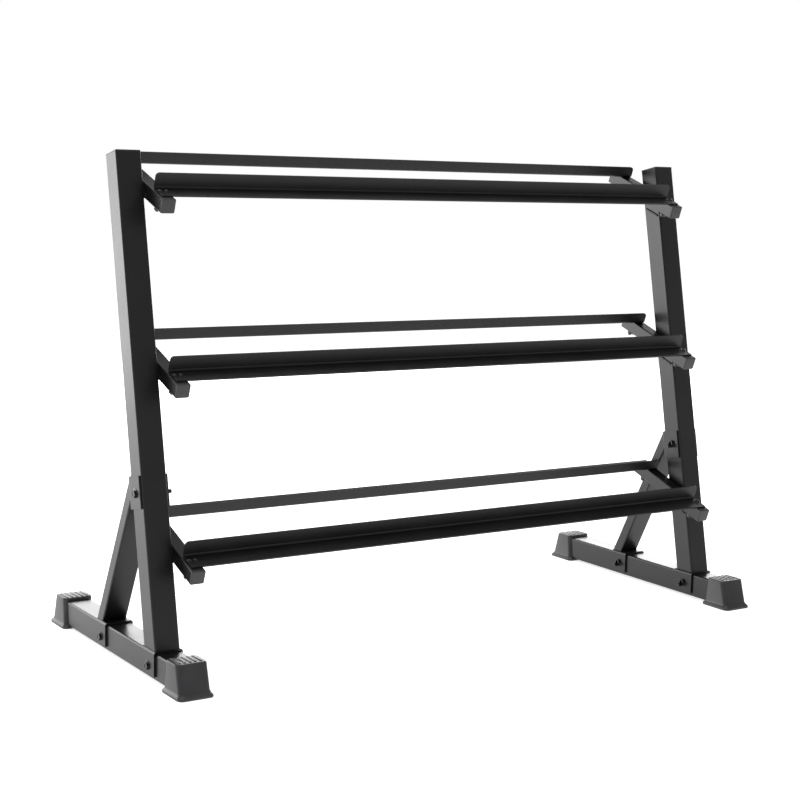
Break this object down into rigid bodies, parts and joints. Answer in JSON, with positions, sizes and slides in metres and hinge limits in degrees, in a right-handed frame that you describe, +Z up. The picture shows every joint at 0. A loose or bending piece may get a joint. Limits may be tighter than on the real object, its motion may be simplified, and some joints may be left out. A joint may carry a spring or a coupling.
{
  "type": "dumbbell rack",
  "caption": "Dumbbell rack: leaning square-tube end frames with rear braces and moulded feet, joined by sloping tiers of angle-iron rails.",
  "frame": {"origin": "on the floor, in the middle of the footprint", "axes": "+X along the rack to the user's right, -Y towards the user at the front, +Z up"},
  "size_m": [1.3798, 0.623, 0.9615],
  "materials": {
    "frame_paint": "satin",
    "rail_paint": "satin",
    "foot_rubber": "matte",
    "plug_plastic": "matte",
    "fastener_black": "satin"
  },
  "bodies": {
    "root": {"left_base_tube": "frame_paint", "left_front_foot": "foot_rubber", "left_rear_foot": "foot_rubber", "left_upright": "frame_paint", "left_rear_brace": "frame_paint", "left_upright_saddle": "frame_paint", "left_brace_saddle": "frame_paint", "left_brace_bracket": "frame_paint", "left_upright_cap": "plug_plastic", "left_bottom_arm": "frame_paint", "left_bottom_front_plug": "plug_plastic", "left_bottom_rear_plug": "plug_plastic", "left_middle_arm": "frame_paint", "left_middle_front_plug": "plug_plastic", "left_middle_rear_plug": "plug_plastic", "left_top_arm": "frame_paint", "left_top_front_plug": "plug_plastic", "left_top_rear_plug": "plug_plastic", "left_frame_bolts": "fastener_black", "left_frame_washers": "fastener_black", "left_frame_nuts": "fastener_black", "right_base_tube": "frame_paint", "right_front_foot": "foot_rubber", "right_rear_foot": "foot_rubber", "right_upright": "frame_paint", "right_rear_brace": "frame_paint", "right_upright_saddle": "frame_paint", "right_brace_saddle": "frame_paint", "right_brace_bracket": "frame_paint", "right_upright_cap": "plug_plastic", "right_bottom_arm": "frame_paint", "right_bottom_front_plug": "plug_plastic", "right_bottom_rear_plug": "plug_plastic", "right_middle_arm": "frame_paint", "right_middle_front_plug": "plug_plastic", "right_middle_rear_plug": "plug_plastic", "right_top_arm": "frame_paint", "right_top_front_plug": "plug_plastic", "right_top_rear_plug": "plug_plastic", "right_frame_bolts": "fastener_black", "right_frame_washers": "fastener_black", "right_frame_nuts": "fastener_black", "bottom_front_rail": "rail_paint", "bottom_rear_rail": "rail_paint", "bottom_rail_bolts": "fastener_black", "bottom_rail_washers": "fastener_black", "bottom_rail_nuts": "fastener_black", "middle_front_rail": "rail_paint", "middle_rear_rail": "rail_paint", "middle_rail_bolts": "fastener_black", "middle_rail_washers": "fastener_black", "middle_rail_nuts": "fastener_black", "top_front_rail": "rail_paint", "top_rear_rail": "rail_paint", "top_rail_bolts": "fastener_black", "top_rail_washers": "fastener_black", "top_rail_nuts": "fastener_black"}
  },
  "joints": []
}
